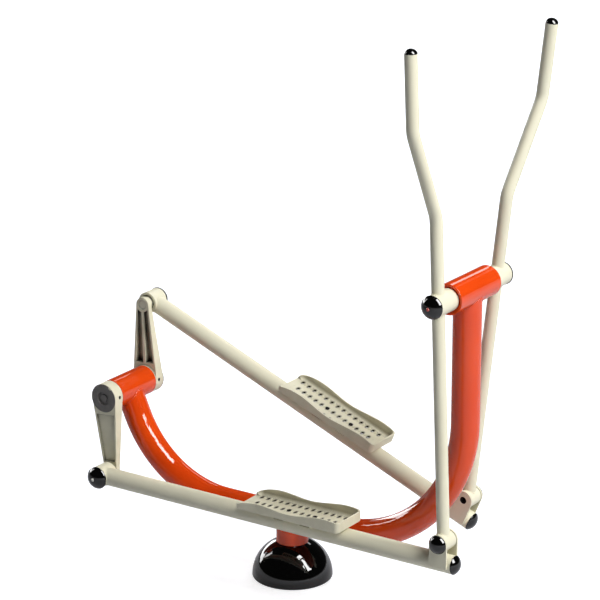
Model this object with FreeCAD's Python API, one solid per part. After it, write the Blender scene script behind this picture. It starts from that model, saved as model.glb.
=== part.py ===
import FreeCAD
import Part
import math
import os

# Outdoor air walker. Millimetres. +X is forward, +Z is up, and the user's right is -Y.
# The origin is on the ground, on the axis of the post.

# Linkage
front_axle_x = 542.0
front_axle_z = 920.0
rear_axle_x = -557.0
rear_axle_z = 440.0
crank_throw = 214.0
crank_rest_angle = 5.0
beam_length = 1107.0
clevis_rise = 59.0
handle_drop = 638.0
side_offset = 147.0

# Clearances
running_gap = 0.05
side_gap = 0.3
cap_gap = 0.2

# Base and post
plate_radius = 98.0
plate_thickness = 12.0
anchor_circle = 150.0
anchor_count = 4
anchor_hole_radius = 7.0
cover_radius = 111.0
cover_foot_round = 7.0
cover_height = 104.0
cover_wall = 3.0
post_radius = 44.45
post_wall = 5.0
post_wrap = 14.0

# Main tube
main_radius = 38.05
main_wall = 4.0
main_flat_z = 170.0
front_bend = 390.0
rear_bend = 330.0
rear_rise_angle = 66.0

# Cross housings
housing_radius = 41.5
housing_wall = 5.5
front_housing_half = 99.0
rear_housing_half = 76.5

# Front axle
axle_radius = 12.5
axle_end_y = 180.0
hub_thickness = 14.0
hub_recess = 6.0
axle_washer_radius = 21.0
axle_washer_thickness = 3.0
axle_nut_flats = 30.0
axle_nut_thickness = 12.0

# Crank bearings and shaft
bearing_width = 17.0
bearing_recess = 8.0
bearing_seal_recess = 1.0
bearing_race = 4.5
shaft_radius = 17.5
circlip_thickness = 2.5
circlip_inset = 4.0
circlip_opening = 30.0
shaft_nose_radius = 15.0
key_width = 8.0
key_depth = 4.0
key_height = 7.0
key_length = 24.0

# Crank arms
crank_side_gap = 1.2
hub_radius = 41.0
hub_face_y = 112.5
pin_end_radius = 21.0
pin_boss_radius = 18.5
arm_root_inset = 2.0
arm_pin_inset = 19.5
pin_boss_y = 120.2
arm_rim = 5.5
arm_edge_round = 2.0
outer_pocket_depth = 5.0
arm_web = 3.5
inner_rib = 8.0
pocket_hub_margin = 7.0
pocket_pin_margin = 8.0
counterbore_radius = 21.0
counterbore_depth = 7.0
hub_cap_rim = 1.7
hub_cap_wall = 1.6
hub_cap_recess = 5.5
hub_cap_boss_radius = 10.0
hub_cap_boss_height = 3.5
hub_cap_notch = 6.0
hub_cap_notch_angle = 40.0
set_screw_radius = 5.0
set_screw_sink = 4.0
set_screw_socket = 5.0

# Crank pins
pin_radius = 10.0
pin_length = 46.0
pin_boss_recess_radius = 13.5
pin_boss_recess_depth = 1.5
pin_clip_thickness = 1.5
pin_clip_radius = 12.0
pin_clip_groove = 1.0
pin_clip_inset = 4.0

# Foot beams
beam_radius = 25.0
beam_wall = 3.0
beam_overhang = 34.5
crank_sleeve_radius = 30.15
crank_sleeve_wall = 4.0
crank_sleeve_half = 26.0
crank_sleeve_lip = 3.0
crank_sleeve_mouth = 22.6

# Clevis at the front of each beam
clevis_gap = 49.0
clevis_plate = 5.0
clevis_half_width = 26.0
clevis_below = 5.0
clevis_pin_radius = 10.0
clevis_socket_flats = 12.0
clevis_socket_depth = 9.0
clevis_pin_sink = 1.5
clevis_head_radius = 16.0
clevis_head_height = 7.0
clevis_cap_inset = 0.8

# Foot trays
tray_start = 489.0
tray_end = 819.5
tray_half_width = 60.0
tray_floor_height = 30.0
tray_floor = 5.0
tray_wall = 4.0
tray_toe_corner = 12.0
tray_heel_corner = 15.0
tray_inner_round = 9.0
tray_outer_round = 5.0
tray_heel_lip = 6.0
tray_heel_round = 10.0
tray_heel_hump_at = 83.0
tray_heel_hump = 28.0
tray_waist_at = 167.0
tray_waist = 20.5
tray_toe_hump_at = 282.0
tray_toe_hump = 33.0
tray_toe_height = 28.0
tray_slot_pitch = 20.7
tray_slot_row = 38.5
tray_first_slot = 34.0
tray_last_slot = 34.0
tray_slot_half_length = 6.5
tray_slot_half_width = 3.2
tray_lug_half_length = 10.0
tray_lug_half_width = 3.6
tray_lug_height = 2.2
tray_lug_crown = 0.45
tray_bolt_column = 5
tray_bolt_step = 4
strap_width = 36.0
strap_thickness = 7.5
strap_wall = 2.0
strap_half_length = 52.0
tray_bolt_radius = 4.0
tray_bolt_head_radius = 5.8
tray_bolt_head_height = 2.4
tray_bolt_length = 22.0
tray_bolt_socket = 2.5
tray_bolt_socket_depth = 1.6

# Handles
handle_radius = 16.85
handle_wall = 3.0
handle_lower_rise = 226.0
handle_mid_rise = 239.0
handle_outset = 112.0
handle_forward = 7.0
grip_length = 200.0
handle_bend = 75.0
pivot_sleeve_radius = 30.15
pivot_sleeve_wall = 5.0
pivot_sleeve_end_y = 176.0
pivot_bush_length = 24.0
pivot_flange = 2.0
pivot_outer_bush_inset = 14.0
link_sleeve_radius = 25.0
link_sleeve_wall = 5.0
link_bush_length = 15.0
link_flange = 1.5
link_flange_margin = 1.0

# Domed caps
cap_rim = 1.6
beam_cap_rim = 0.6
cap_wall = 2.5
cap_lip = 2.0
cap_skirt = 6.0
cap_skirt_wall = 2.0
pivot_cap_rise = 20.0
sleeve_cap_rise = 20.0
clevis_cap_rise = 17.0
beam_cap_rise = 13.0
grip_cap_rise = 11.5
cap_screw_radius = 5.0
cap_screw_crown_radius = 3.0
cap_screw_head = 3.0
cap_screw_shank_radius = 2.5
cap_screw_shank = 6.0

VECTOR = FreeCAD.Vector
ORIGIN = VECTOR(0, 0, 0)
AXIS_X = VECTOR(1, 0, 0)
AXIS_Y = VECTOR(0, 1, 0)
AXIS_Z = VECTOR(0, 0, 1)
RIGHT = -1
LEFT = 1

HALF_ROOT = math.sqrt(0.5)
DOME_MIDDLE = 0.75
EDGE_TOLERANCE = 0.001

hexagon_sides = 6

parts = {}


# Helpers


def rod(radius, start, direction, length):
    return Part.makeCylinder(radius, length, start, direction)


def rod_y(radius, x, z, y_start, y_end):
    return rod(radius, VECTOR(x, y_start, z), AXIS_Y, y_end - y_start)


def ring_y(outer, inner, x, z, y_start, y_end):
    return rod_y(outer, x, z, y_start, y_end).cut(rod_y(inner, x, z, y_start, y_end))


def block(x_start, x_end, y_start, y_end, z_start, z_end):
    corner = VECTOR(x_start, y_start, z_start)
    return Part.makeBox(x_end - x_start, y_end - y_start, z_end - z_start, corner)


def prism(points, push):
    wire = Part.makePolygon([VECTOR(*point) for point in points + points[:1]])
    return Part.Face(wire).extrude(push)


def hexagon(flats):
    # Corners of a hexagon about the origin, given its size across flats.
    half_corner = math.pi / hexagon_sides
    corner = flats / 2 / math.cos(half_corner)
    turns = [2 * half_corner * step for step in range(hexagon_sides)]
    return [(corner * math.cos(turn), corner * math.sin(turn)) for turn in turns]


def hexagon_y(flats, x, z, y_start, y_end):
    points = [(x + across, y_start, z + along) for across, along in hexagon(flats)]
    return prism(points, VECTOR(0, y_end - y_start, 0))


def hexagon_z(flats, x, y, z_start, z_end):
    points = [(x + across, y + along, z_start) for across, along in hexagon(flats)]
    return prism(points, VECTOR(0, 0, z_end - z_start))


def fused(shapes):
    body = shapes[0]
    for shape in shapes[1:]:
        body = body.fuse(shape)
    return body.removeSplitter()


def mirrored(shape):
    return shape.mirror(ORIGIN, AXIS_Y)


def rounded_path(points, radius):
    # Straight runs joined by tangent arcs, one arc at each inner point.
    corners = [VECTOR(*point) for point in points]
    edges = []
    here = corners[0]
    for index in range(1, len(corners) - 1):
        corner = corners[index]
        back = (corners[index - 1] - corner).normalize()
        ahead = (corners[index + 1] - corner).normalize()
        half_turn = (math.pi - back.getAngle(ahead)) / 2
        reach = radius * math.tan(half_turn)
        arc_start = corner + back * reach
        arc_end = corner + ahead * reach
        inward = (back + ahead).normalize()
        centre = corner + inward * (radius / math.cos(half_turn))
        arc_middle = centre - inward * radius
        edges.append(Part.LineSegment(here, arc_start).toShape())
        edges.append(Part.Arc(arc_start, arc_middle, arc_end).toShape())
        here = arc_end
    edges.append(Part.LineSegment(here, corners[-1]).toShape())
    return Part.Wire(edges)


def pipe(path, start, direction, radius):
    circle = Part.Wire([Part.makeCircle(radius, start, direction)])
    return path.makePipeShell([circle], True, False)


def hollow_pipe(path, start, direction, radius, wall):
    return pipe(path, start, direction, radius).cut(pipe(path, start, direction, radius - wall))


def dome_arc(radius, rise, base):
    # Arc from the edge to the axis, part of a circle centred on the axis.
    sphere = (radius ** 2 + rise ** 2) / (2 * rise)
    slant = math.asin(radius / sphere) / 2
    middle = VECTOR(sphere * math.sin(slant), 0, base + rise - sphere + sphere * math.cos(slant))
    return Part.Arc(VECTOR(radius, 0, base), middle, VECTOR(0, 0, base + rise)).toShape()


def domed_cap(radius, rise, opening):
    # A hollow cap on +Z with its rim's face at 0, open below to the given radius.
    inner_radius = radius - cap_wall
    inner_rise = rise - cap_wall
    edges = [dome_arc(radius, rise, cap_lip), dome_arc(inner_radius, inner_rise, cap_lip)]
    top = VECTOR(0, 0, cap_lip + rise)
    inner_top = VECTOR(0, 0, cap_lip + inner_rise)
    edges.append(Part.LineSegment(top, inner_top).toShape())
    corners = [VECTOR(inner_radius, 0, cap_lip), VECTOR(opening, 0, cap_lip), VECTOR(opening, 0, 0)]
    corners += [VECTOR(radius, 0, 0), VECTOR(radius, 0, cap_lip)]
    for first, second in zip(corners, corners[1:]):
        edges.append(Part.LineSegment(first, second).toShape())
    profile = Part.Wire(Part.__sortEdges__(edges))
    return Part.Face(profile).revolve(ORIGIN, AXIS_Z, 360)


def plug_cap(radius, rise, skirt_radius):
    # A domed cap with a skirt that plugs a bore below its rim.
    opening = skirt_radius - cap_skirt_wall
    skirt = rod(skirt_radius, VECTOR(0, 0, -cap_skirt), AXIS_Z, cap_skirt + cap_lip)
    skirt = skirt.cut(rod(opening, VECTOR(0, 0, -cap_skirt), AXIS_Z, cap_skirt + cap_lip))
    return fused([domed_cap(radius, rise, opening), skirt])


def turned_to(shape, direction, place):
    # Takes a shape built on +Z to another direction and place.
    turn = FreeCAD.Rotation(AXIS_Z, direction)
    moved = shape.copy()
    moved.Placement = FreeCAD.Placement(place, turn)
    return moved


def cap_screw(place, direction):
    head = Part.makeCone(cap_screw_radius, cap_screw_crown_radius, cap_screw_head)
    shank = rod(cap_screw_shank_radius, VECTOR(0, 0, -cap_screw_shank), AXIS_Z, cap_screw_shank)
    return turned_to(head.fuse(shank), direction, place)


# Linkage at rest


def crank_pin_place(side):
    angle = math.radians(crank_rest_angle)
    if side == LEFT:
        angle += math.pi
    x = rear_axle_x + crank_throw * math.sin(angle)
    z = rear_axle_z - crank_throw * math.cos(angle)
    return x, z


def clevis_place(side):
    # The clevis pin is where the beam's arc about the crank pin meets the handle's arc.
    pin_x, pin_z = crank_pin_place(side)
    reach = math.hypot(beam_length, clevis_rise)
    span = math.hypot(front_axle_x - pin_x, front_axle_z - pin_z)
    along = (reach ** 2 - handle_drop ** 2 + span ** 2) / (2 * span)
    aside = math.sqrt(reach ** 2 - along ** 2)
    unit_x = (front_axle_x - pin_x) / span
    unit_z = (front_axle_z - pin_z) / span
    return pin_x + unit_x * along + unit_z * aside, pin_z + unit_z * along - unit_x * aside


def beam_pitch(side):
    pin_x, pin_z = crank_pin_place(side)
    end_x, end_z = clevis_place(side)
    slope = math.atan2(end_z - pin_z, end_x - pin_x)
    return math.degrees(slope - math.atan2(clevis_rise, beam_length))


def handle_lean(side):
    end_x, end_z = clevis_place(side)
    return math.degrees(math.atan2(front_axle_x - end_x, front_axle_z - end_z))


def crank_heading(side):
    # Degrees about +Y that take a crank drawn along +Z to its place.
    half_turn = 180.0 if side == RIGHT else 0.0
    return half_turn - crank_rest_angle


def set_in_place(shape, side, turn, x, z):
    # A shape drawn with +Y outwards goes to its side, turns about Y and moves to (x, z).
    placed = mirrored(shape) if side == RIGHT else shape.copy()
    placed.rotate(ORIGIN, AXIS_Y, turn)
    placed.translate(VECTOR(x, 0, z))
    return placed


def add(name, shape):
    parts[name] = shape


def side_name(side):
    return "right" if side == RIGHT else "left"


# Frame


def base_plate():
    plate = rod(plate_radius, ORIGIN, AXIS_Z, plate_thickness)
    for index in range(anchor_count):
        turn = math.radians(360 / anchor_count * (index + 0.5))
        centre = VECTOR(anchor_circle / 2 * math.cos(turn), anchor_circle / 2 * math.sin(turn), 0)
        plate = plate.cut(rod(anchor_hole_radius, centre, AXIS_Z, plate_thickness))
    return plate


def cover_body(inset):
    # The cover's outer or inner form: an elliptic dome on a foot that turns under.
    radius = cover_radius - inset
    neck = post_radius + cap_gap
    height = cover_height - inset
    foot = cover_foot_round
    rise = (height - foot) / math.sqrt(1 - (neck / radius) ** 2)
    middle = neck + (radius - neck) * DOME_MIDDLE
    middle_z = foot + rise * math.sqrt(1 - (middle / radius) ** 2)
    rim = VECTOR(radius, 0, foot)
    top = VECTOR(neck, 0, height)
    turn_under = VECTOR(radius - foot + foot * HALF_ROOT, 0, foot - foot * HALF_ROOT)
    toe = VECTOR(radius - foot, 0, 0)
    centre = VECTOR(neck, 0, 0)
    edges = [
        Part.Arc(rim, VECTOR(middle, 0, middle_z), top).toShape(),
        Part.LineSegment(top, centre).toShape(),
        Part.LineSegment(centre, toe).toShape(),
        Part.Arc(toe, turn_under, rim).toShape(),
    ]
    return Part.Face(Part.Wire(edges)).revolve(ORIGIN, AXIS_Z, 360)


def base_cover():
    return cover_body(0).cut(cover_body(cover_wall))


def ground_post():
    top = main_flat_z - main_radius + post_wrap
    post = rod(post_radius, VECTOR(0, 0, plate_thickness), AXIS_Z, top - plate_thickness)
    bore = rod(post_radius - post_wall, VECTOR(0, 0, plate_thickness), AXIS_Z, top - plate_thickness)
    saddle = rod(main_radius, VECTOR(-plate_radius, 0, main_flat_z), AXIS_X, 2 * plate_radius)
    return post.cut(bore).cut(saddle)


def main_path():
    # Upright, front bend, flat run, rear bend, and a straight rise into the rear housing.
    rise = math.radians(rear_rise_angle)
    rear_drop = rear_axle_z - main_flat_z - rear_bend * (1 - math.cos(rise))
    straight = rear_drop / math.sin(rise)
    rear_top = VECTOR(rear_axle_x, 0, rear_axle_z)
    bend_top = rear_top + VECTOR(math.cos(rise), 0, -math.sin(rise)) * straight
    rear_centre = VECTOR(bend_top.x + rear_bend * math.sin(rise), 0, main_flat_z + rear_bend)
    middle = rise / 2
    bend_middle = rear_centre + VECTOR(-math.sin(middle), 0, -math.cos(middle)) * rear_bend
    flat_rear = VECTOR(rear_centre.x, 0, main_flat_z)
    front_centre = VECTOR(front_axle_x - front_bend, 0, main_flat_z + front_bend)
    flat_front = VECTOR(front_centre.x, 0, main_flat_z)
    front_middle = front_centre + VECTOR(HALF_ROOT, 0, -HALF_ROOT) * front_bend
    upright_foot = VECTOR(front_axle_x, 0, main_flat_z + front_bend)
    upright_top = VECTOR(front_axle_x, 0, front_axle_z)
    edges = [
        Part.LineSegment(upright_top, upright_foot).toShape(),
        Part.Arc(upright_foot, front_middle, flat_front).toShape(),
        Part.LineSegment(flat_front, flat_rear).toShape(),
        Part.Arc(flat_rear, bend_middle, bend_top).toShape(),
        Part.LineSegment(bend_top, rear_top).toShape(),
    ]
    return Part.Wire(edges)


def main_tube():
    start = VECTOR(front_axle_x, 0, front_axle_z)
    tube = hollow_pipe(main_path(), start, AXIS_Z, main_radius, main_wall)
    front = rod_y(housing_radius, front_axle_x, front_axle_z, -front_housing_half, front_housing_half)
    rear = rod_y(housing_radius, rear_axle_x, rear_axle_z, -rear_housing_half, rear_housing_half)
    return tube.cut(front).cut(rear)


def housing(x, z, half):
    return ring_y(housing_radius, housing_radius - housing_wall, x, z, -half, half)


def axle_hubs():
    outer_face = front_housing_half - hub_recess
    bore = housing_radius - housing_wall
    hub = ring_y(bore, axle_radius, front_axle_x, front_axle_z, outer_face - hub_thickness, outer_face)
    return Part.makeCompound([hub, mirrored(hub)])


def front_axle():
    return rod_y(axle_radius, front_axle_x, front_axle_z, -axle_end_y, axle_end_y)


def axle_nuts():
    washer_y = pivot_sleeve_end_y - pivot_outer_bush_inset + side_gap
    nut_y = washer_y + axle_washer_thickness
    x = front_axle_x
    z = front_axle_z
    washer = ring_y(axle_washer_radius, axle_radius, x, z, washer_y, nut_y)
    nut = hexagon_y(axle_nut_flats, x, z, nut_y, nut_y + axle_nut_thickness)
    nut = nut.cut(rod_y(axle_radius, x, z, nut_y, nut_y + axle_nut_thickness))
    pair = [washer, nut]
    return Part.makeCompound(pair + [mirrored(shape) for shape in pair])


def crank_bearings():
    outer = housing_radius - housing_wall
    outer_face = rear_housing_half - bearing_recess
    inner_face = outer_face - bearing_width
    bore = shaft_radius + running_gap
    bearing = ring_y(outer, bore, rear_axle_x, rear_axle_z, inner_face, outer_face)
    seal_outer = outer - bearing_race
    seal_inner = bore + bearing_race
    for y_start in (inner_face, outer_face - bearing_seal_recess):
        y_end = y_start + bearing_seal_recess
        bearing = bearing.cut(ring_y(seal_outer, seal_inner, rear_axle_x, rear_axle_z, y_start, y_end))
    return Part.makeCompound([bearing, mirrored(bearing)])


def housing_circlips():
    outer = housing_radius - housing_wall
    y_start = rear_housing_half - bearing_recess
    y_end = y_start + circlip_thickness
    clip = ring_y(outer, outer - circlip_inset, rear_axle_x, rear_axle_z, y_start, y_end)
    gap = math.radians(circlip_opening) / 2
    reach = 2 * outer
    wedge_points = [(rear_axle_x, y_start, rear_axle_z)]
    for turn in (-gap, gap):
        x = rear_axle_x + reach * math.sin(turn)
        z = rear_axle_z - reach * math.cos(turn)
        wedge_points.append((x, y_start, z))
    clip = clip.cut(prism(wedge_points, VECTOR(0, y_end - y_start, 0)))
    return Part.makeCompound([clip, mirrored(clip)])


# Crankset. Arms are drawn with the hub on the Y axis, +Y outwards and the pin along +Z.


def shaft_nose_y():
    return hub_face_y - counterbore_depth - side_gap


def hub_inner_y():
    return rear_housing_half + crank_side_gap


def hub_middle_y():
    # Half way along the hub's bore, where the key and the set screw are.
    return (hub_inner_y() + hub_face_y - counterbore_depth) / 2


def keyway(x_offset):
    # Slot for the key, drawn on the pin side of the shaft, open to the shaft's end.
    half = key_width / 2
    bottom = shaft_nose_radius - key_depth
    start = hub_middle_y() - key_length / 2
    return block(x_offset - half, x_offset + half, start, shaft_nose_y(), bottom, bottom + key_height)


def crank_shaft():
    shoulder = hub_inner_y()
    half_body = rod_y(shaft_radius, 0, 0, 0, shoulder)
    half_nose = rod_y(shaft_nose_radius, 0, 0, shoulder, shaft_nose_y())
    half = half_body.fuse(half_nose).cut(keyway(0))
    left = set_in_place(half, LEFT, crank_heading(LEFT), rear_axle_x, rear_axle_z)
    right = set_in_place(half, RIGHT, crank_heading(RIGHT), rear_axle_x, rear_axle_z)
    return fused([left, right])


def crank_key():
    half = key_width / 2
    bottom = shaft_nose_radius - key_depth
    start = hub_middle_y() - key_length / 2
    return block(-half, half, start, start + key_length, bottom, bottom + key_height)


def arm_outline(hub, end, z_start, z_end, y_start, y_end):
    # Two circles joined by their common tangents, pushed through along Y.
    span = z_end - z_start
    lean = math.asin((hub - end) / span)
    reach = math.cos(lean)
    lift = math.sin(lean)
    corners = [
        (hub * reach, y_start, z_start + hub * lift),
        (end * reach, y_start, z_end + end * lift),
        (-end * reach, y_start, z_end + end * lift),
        (-hub * reach, y_start, z_start + hub * lift),
    ]
    blade = prism(corners, VECTOR(0, y_end - y_start, 0))
    ends = [rod_y(hub, 0, z_start, y_start, y_end), rod_y(end, 0, z_end, y_start, y_end)]
    return fused([blade] + ends)


def arm_half_width(z):
    return hub_radius + (pin_end_radius - hub_radius) * z / crank_throw


def arm_inner_y(z):
    root = hub_inner_y() + arm_root_inset
    tip = hub_inner_y() + arm_pin_inset
    return root + (tip - root) * z / crank_throw


def pocket(z_start, z_end, margin, y_start, y_end):
    start_half = arm_half_width(z_start) - margin
    end_half = arm_half_width(z_end) - margin
    corners = [(-start_half, y_start, z_start), (start_half, y_start, z_start)]
    corners += [(end_half, y_start, z_end), (-end_half, y_start, z_end)]
    return prism(corners, VECTOR(0, y_end - y_start, 0))


def arm_inner_slab():
    # Everything on the frame side of the arm's sloping inner face.
    low = -hub_radius
    high = crank_throw + pin_end_radius
    start = hub_inner_y() - arm_pin_inset
    corners = [(-hub_radius, start, low), (-hub_radius, arm_inner_y(low), low)]
    corners += [(-hub_radius, arm_inner_y(high), high), (-hub_radius, start, high)]
    return prism(corners, VECTOR(2 * hub_radius, 0, 0))


def face_edges(shape, y):
    # The edges that lie flat on the plane at this y.
    flat = []
    for edge in shape.Edges:
        box = edge.BoundBox
        if abs(box.YMin - y) < EDGE_TOLERANCE and abs(box.YMax - y) < EDGE_TOLERANCE:
            flat.append(edge)
    return flat


def arm_blank():
    # The casting before its pockets and bores, with the outer face's rim rounded over.
    arm = arm_outline(hub_radius, pin_end_radius, 0, crank_throw, hub_inner_y(), hub_face_y)
    arm = arm.makeFillet(arm_edge_round, face_edges(arm, hub_face_y))
    arm = arm.cut(arm_inner_slab())
    hub = rod_y(hub_radius, 0, 0, hub_inner_y(), hub_middle_y())
    boss = rod_y(pin_boss_radius, 0, crank_throw, arm_inner_y(crank_throw), pin_boss_y)
    return fused([arm, hub, boss])


def arm_pockets():
    # A shallow pocket outside, and a deep one inside that a rib divides, with a thin web between.
    low = hub_radius + pocket_hub_margin
    high = crank_throw - pin_end_radius - pocket_pin_margin
    outer_floor = hub_face_y - outer_pocket_depth
    outer = pocket(low, high, arm_rim, outer_floor, hub_face_y)
    start = hub_inner_y() - arm_pin_inset
    inner = pocket(low, crank_throw, arm_rim, start, outer_floor - arm_web)
    inner = inner.cut(rod_y(pin_end_radius, 0, crank_throw, start, hub_face_y))
    rib_half = inner_rib / 2
    rib = block(-rib_half, rib_half, start, hub_face_y, low, crank_throw)
    return [outer, inner.cut(rib)]


def crank_arm(side):
    arm = arm_blank()
    for hollow in arm_pockets():
        arm = arm.cut(hollow)
    arm = arm.cut(rod_y(shaft_nose_radius, 0, 0, hub_inner_y(), hub_face_y))
    arm = arm.cut(rod_y(counterbore_radius, 0, 0, hub_face_y - counterbore_depth, hub_face_y))
    arm = arm.cut(crank_key())
    arm = arm.cut(rod_y(pin_radius, 0, crank_throw, hub_inner_y(), pin_boss_y))
    recess_y = arm_inner_y(crank_throw) + pin_boss_recess_depth
    arm = arm.cut(rod_y(pin_boss_recess_radius, 0, crank_throw, hub_inner_y(), recess_y))
    return arm.cut(set_screw_bore(side))


def set_screw_axis(side):
    # Both screws face forward once the cranks are in place.
    return AXIS_X * side


def set_screw_bore(side):
    start = VECTOR(0, hub_middle_y(), 0)
    return rod(set_screw_radius, start, set_screw_axis(side), hub_radius)


def set_screw(side):
    # Screwed in from the front edge of the hub until it bears on the shaft.
    length = hub_radius - set_screw_sink
    screw = rod(set_screw_radius, VECTOR(0, hub_middle_y(), 0), set_screw_axis(side), length)
    screw = screw.cut(rod_y(shaft_nose_radius, 0, 0, hub_inner_y(), hub_face_y))
    socket_start = VECTOR(side * (length - set_screw_socket), hub_middle_y(), 0)
    return screw.cut(rod(set_screw_radius / 2, socket_start, set_screw_axis(side), set_screw_socket))


def hub_cap():
    # Dark cap on the hub: a flat rim, a round recess, and a boss in its middle.
    cup_radius = counterbore_radius - cap_gap
    face = hub_face_y + hub_cap_rim
    recess_floor = face - hub_cap_recess
    rim = rod_y(hub_radius - cap_gap, 0, 0, hub_face_y, face)
    cup = rod_y(cup_radius, 0, 0, hub_face_y - counterbore_depth, hub_face_y)
    cap = rim.fuse(cup).cut(rod_y(cup_radius - hub_cap_wall, 0, 0, recess_floor, face))
    boss = rod_y(hub_cap_boss_radius, 0, 0, recess_floor, recess_floor + hub_cap_boss_height)
    turn = math.radians(hub_cap_notch_angle)
    notch_x = -hub_radius * math.sin(turn)
    notch_z = -hub_radius * math.cos(turn)
    notch = rod_y(hub_cap_notch, notch_x, notch_z, hub_face_y, face)
    return fused([cap, boss]).cut(notch)


def crank_pin():
    foot = arm_inner_y(crank_throw) + pin_boss_recess_depth
    pin = rod_y(pin_radius, 0, crank_throw, foot, pin_boss_y + pin_length)
    groove_end = pin_boss_y + pin_length - pin_clip_inset
    groove_start = groove_end - pin_clip_thickness
    groove = ring_y(pin_radius, pin_radius - pin_clip_groove, 0, crank_throw, groove_start, groove_end)
    return pin.cut(groove)


def pin_clip():
    groove_end = pin_boss_y + pin_length - pin_clip_inset
    groove_start = groove_end - pin_clip_thickness
    inner = pin_radius - pin_clip_groove
    return ring_y(pin_clip_radius, inner, 0, crank_throw, groove_start, groove_end)


def place_crank(shape, side):
    return set_in_place(shape, side, crank_heading(side), rear_axle_x, rear_axle_z)


def add_crankset():
    add("crank_shaft", crank_shaft())
    shared = {"crank_keys": crank_key(), "hub_washers": hub_cap(), "crank_pins": crank_pin()}
    shared["pin_circlips"] = pin_clip()
    for name, drawn in shared.items():
        add(name, Part.makeCompound([place_crank(drawn, side) for side in (RIGHT, LEFT)]))
    screws = [place_crank(set_screw(side), side) for side in (RIGHT, LEFT)]
    add("hub_set_screws", Part.makeCompound(screws))
    for side in (RIGHT, LEFT):
        add(side_name(side) + "_crank_arm", place_crank(crank_arm(side), side))


# Foot beams. Drawn with the crank pin at the origin, the beam along +X and +Y outwards.


def foot_beam():
    length = beam_length + beam_overhang
    beam = rod(beam_radius, ORIGIN, AXIS_X, length)
    beam = beam.cut(rod(beam_radius - beam_wall, ORIGIN, AXIS_X, length))
    beam = beam.cut(rod_y(crank_sleeve_radius, 0, 0, -crank_sleeve_half, crank_sleeve_half))
    return beam.cut(tray_bolt_shanks())


def crank_sleeve():
    # The sleeve's inner end is closed to a lip round the crank's boss.
    inner = crank_sleeve_radius - crank_sleeve_wall
    sleeve = ring_y(crank_sleeve_radius, inner, 0, 0, -crank_sleeve_half, crank_sleeve_half)
    lip_end = -crank_sleeve_half + crank_sleeve_lip
    lip = ring_y(crank_sleeve_radius, crank_sleeve_mouth, 0, 0, -crank_sleeve_half, lip_end)
    return fused([sleeve, lip])


def sleeve_cap():
    inner = crank_sleeve_radius - crank_sleeve_wall
    cap = plug_cap(crank_sleeve_radius + cap_rim, sleeve_cap_rise, inner)
    cap = cap.cut(rod(cap_screw_shank_radius, ORIGIN, AXIS_Z, sleeve_cap_rise + 2 * cap_lip))
    return turned_to(cap, AXIS_Y, VECTOR(0, crank_sleeve_half, 0))


def sleeve_cap_screw():
    top = crank_sleeve_half + cap_lip + sleeve_cap_rise
    return cap_screw(VECTOR(0, top, 0), AXIS_Y)


def clevis_plates():
    inner = clevis_gap / 2
    outer = inner + clevis_plate
    rise = clevis_rise
    half = clevis_half_width
    tongue = block(beam_length - half, beam_length + half, inner, outer, -clevis_below, rise)
    plate = tongue.fuse(rod_y(half, beam_length, rise, inner, outer)).removeSplitter()
    plate = plate.cut(rod(beam_radius, ORIGIN, AXIS_X, beam_length + beam_overhang))
    plate = plate.cut(rod_y(clevis_pin_radius, beam_length, rise, inner, outer))
    return Part.makeCompound([plate, mirrored(plate)])


def clevis_pin():
    face = clevis_gap / 2 + clevis_plate
    foot = -face + clevis_pin_sink
    pin = rod_y(clevis_pin_radius, beam_length, clevis_rise, foot, face)
    head = rod_y(clevis_head_radius, beam_length, clevis_rise, face, face + clevis_head_height)
    socket = hexagon_y(clevis_socket_flats, beam_length, clevis_rise, foot, foot + clevis_socket_depth)
    return pin.fuse(head).cut(socket)


def clevis_cap():
    cap = domed_cap(clevis_half_width - clevis_cap_inset, clevis_cap_rise, clevis_head_radius)
    face = clevis_gap / 2 + clevis_plate
    return turned_to(cap, AXIS_Y, VECTOR(beam_length, face, clevis_rise))


def beam_end_cap():
    cap = plug_cap(beam_radius + beam_cap_rim, beam_cap_rise, beam_radius - beam_wall)
    return turned_to(cap, AXIS_X, VECTOR(beam_length + beam_overhang, 0, 0))


def tray_bolt_places():
    first = tray_start + tray_first_slot + tray_bolt_column * tray_slot_pitch
    return [first, first + tray_bolt_step * tray_slot_pitch]


def tray_bolt_shanks():
    shanks = []
    foot = tray_floor_height + tray_floor - tray_bolt_length
    for x in tray_bolt_places():
        shanks.append(rod(tray_bolt_radius, VECTOR(x, 0, foot), AXIS_Z, tray_bolt_length))
    return Part.makeCompound(shanks)


def tray_bracket():
    # Two flat hollow bars across the beam, open at their ends.
    bars = []
    high = tray_floor_height
    low = high - strap_thickness
    end = strap_half_length
    half = strap_width / 2
    bore = half - strap_wall
    for x in tray_bolt_places():
        bar = block(x - half, x + half, -end, end, low, high)
        bar = bar.cut(block(x - bore, x + bore, -end, end, low + strap_wall, high - strap_wall))
        bar = bar.cut(rod(beam_radius, ORIGIN, AXIS_X, beam_length))
        bars.append(bar.cut(tray_bolt_shanks()))
    return Part.makeCompound(bars)


def tray_pan(margin, low, high, bottom_round):
    # The tray's plan with rounded corners, pushed up, with its bottom edge rounded.
    half = tray_half_width - margin
    body = block(tray_start + margin, tray_end - margin, -half, half, low, high)
    middle = (tray_start + tray_end) / 2
    for radius, at_toe in ((tray_heel_corner, False), (tray_toe_corner, True)):
        corners = []
        for edge in body.Edges:
            upright = edge.BoundBox.ZLength > (high - low) / 2
            if upright and (edge.CenterOfMass.x > middle) == at_toe:
                corners.append(edge)
        body = body.makeFillet(radius, corners[:2])
    bottom = [edge for edge in body.Edges if edge.BoundBox.ZMax < low + EDGE_TOLERANCE]
    return body.makeFillet(bottom_round, bottom)


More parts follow.
